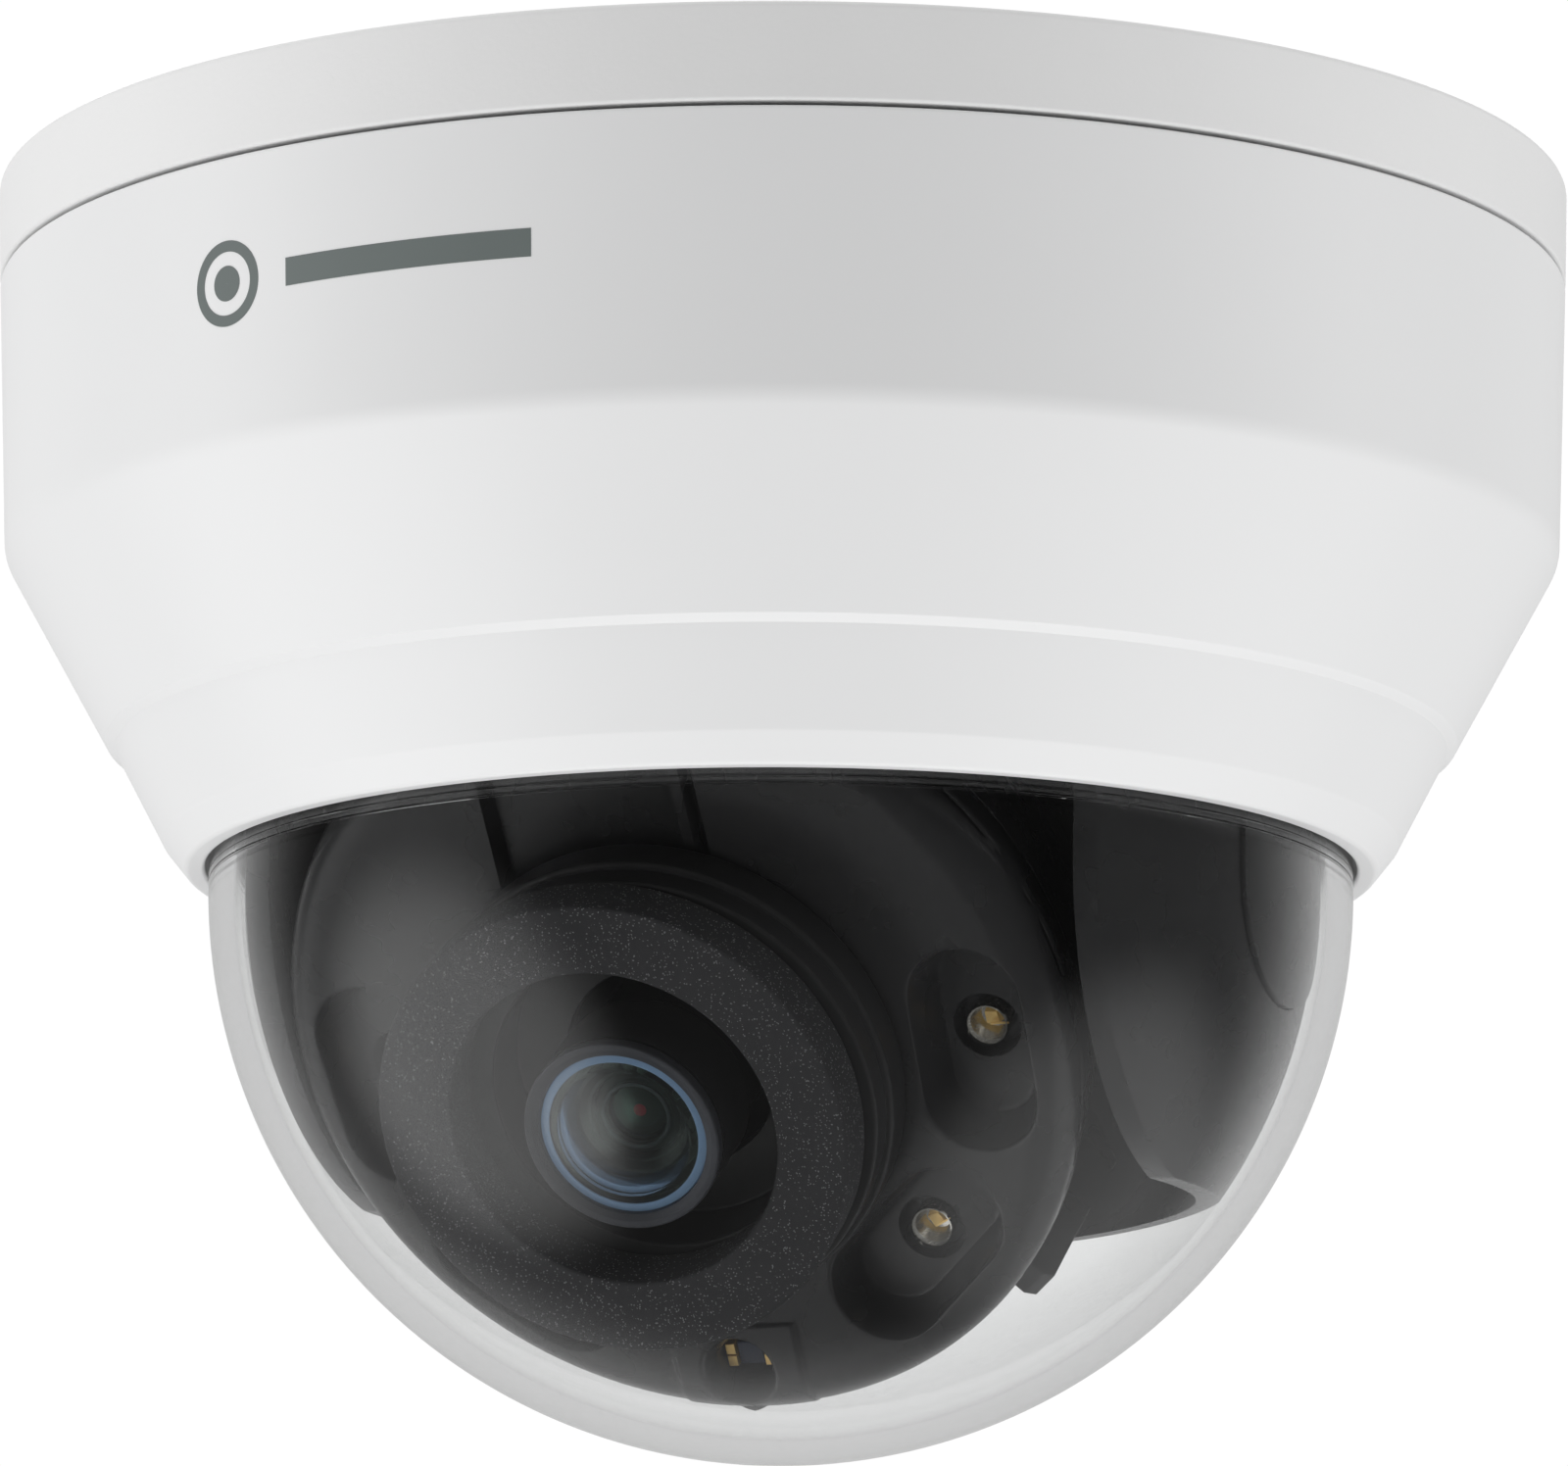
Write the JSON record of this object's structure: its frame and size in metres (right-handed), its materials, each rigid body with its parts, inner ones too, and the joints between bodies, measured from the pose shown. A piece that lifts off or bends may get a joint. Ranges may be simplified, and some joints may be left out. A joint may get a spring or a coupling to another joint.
{
  "type": "dome cctv camera",
  "caption": "Ceiling dome camera with a round base, pull-off cover, clear dome, and a panning, tilting eye with infrared lamps and a rotating lens.",
  "frame": {"origin": "centre of the flat ceiling face of the base", "axes": "+Z out of the ceiling face towards the ceiling; the dome hangs towards -Z; -Y is the front; +X is to the right seen from the front"},
  "size_m": [0.11, 0.11, 0.089],
  "materials": {
    "base_white": "fine orange-peel moulding, satin",
    "cover_white": "smooth semi-gloss moulding",
    "clear_dome": "clear polished polycarbonate",
    "black_plastic": "fine spark-eroded texture",
    "hood_black": "smooth satin",
    "lens_metal": "black anodised, satin",
    "lens_bezel": "blue-grey coated edge",
    "foam": "fine-celled sponge",
    "seal_rubber": "matt",
    "circuit_board": "green solder mask",
    "tinned_steel": "tinned sheet",
    "terminal_plastic": "satin",
    "chip_black": "moulded epoxy",
    "sink_black": "black anodised",
    "screw_steel": "zinc plated",
    "lamp_clear": "clear epoxy lens",
    "optical_glass": "coated optical glass",
    "sensor_dark": "glass-faced chip",
    "button_plastic": "satin"
  },
  "bodies": {
    "base": {"base_case": "base_white", "board_screw_1": "screw_steel", "board_screw_2": "screw_steel", "board_screw_3": "screw_steel", "board_screw_4": "screw_steel", "card_slot": "tinned_steel", "chassis_plate": "black_plastic", "chassis_screw_1": "screw_steel", "chassis_screw_2": "screw_steel", "chassis_screw_3": "screw_steel", "flex_socket": "chip_black", "heat_sink": "sink_black", "main_board": "circuit_board", "network_jack": "tinned_steel", "power_terminal": "terminal_plastic", "processor": "chip_black", "reset_switch": "tinned_steel"},
    "reset_button": {"reset_button": "button_plastic"},
    "pan_yoke": {"pivot_cap_left": "black_plastic", "pivot_cap_right": "black_plastic", "retainer_screw_1": "screw_steel", "retainer_screw_2": "screw_steel", "retainer_screw_3": "screw_steel", "tilt_pin_left": "screw_steel", "tilt_pin_right": "screw_steel", "turntable": "black_plastic", "turntable_retainer": "black_plastic", "yoke_screw_1": "screw_steel", "yoke_screw_2": "screw_steel", "yoke_screw_3": "screw_steel", "yoke_shroud": "black_plastic"},
    "eye": {"eye_front_cover": "black_plastic", "eye_rear_cover": "black_plastic", "infrared_lamp_1": "lamp_clear", "infrared_lamp_2": "lamp_clear", "infrared_lamp_3": "lamp_clear", "infrared_lamp_4": "lamp_clear", "lamp_board": "circuit_board", "lamp_board_screw_1": "screw_steel", "lamp_board_screw_2": "screw_steel", "light_sensor": "sensor_dark"},
    "lens_module": {"barrel_clip": "black_plastic", "filter_glass": "optical_glass", "foam_ring": "foam", "front_glass": "optical_glass", "image_sensor": "sensor_dark", "inner_glass": "optical_glass", "lens_barrel": "hood_black", "lens_bezel": "lens_bezel", "lens_holder": "black_plastic", "lens_housing": "lens_metal", "sensor_board": "circuit_board"},
    "cover": {"cover_shell": "cover_white", "dome_bubble": "clear_dome", "dome_gasket": "seal_rubber", "dome_retainer": "black_plastic", "dome_screw_1": "screw_steel", "dome_screw_2": "screw_steel", "dome_screw_3": "screw_steel"}
  },
  "joints": [
    {"name": "pan", "type": "hinge", "parent": "base", "child": "pan_yoke", "pos_m": [0, 0, -0.024], "axis": [0, 0, 1], "range_deg": [-175, 175]},
    {"name": "tilt", "type": "hinge", "parent": "pan_yoke", "child": "eye", "pos_m": [0, 0, -0.0503], "axis": [0.9298, -0.3681, 0], "range_deg": [-12, 54.5]},
    {"name": "lens_turn", "type": "hinge", "parent": "eye", "child": "lens_module", "pos_m": [-0.00041, 0.0006, -0.05087], "axis": [-0.3012, -0.7607, -0.575], "range_deg": [-177, 177]},
    {"name": "cover_pull", "type": "slide", "parent": "base", "child": "cover", "axis": [0, 0, -1], "range_m": [0, 0.09]},
    {"name": "reset_press", "type": "slide", "parent": "base", "child": "reset_button", "axis": [0, 0, 1], "range_m": [0, 0.0004], "stiffness_N_per_m": 600, "springref_m": -0.0005}
  ]
}
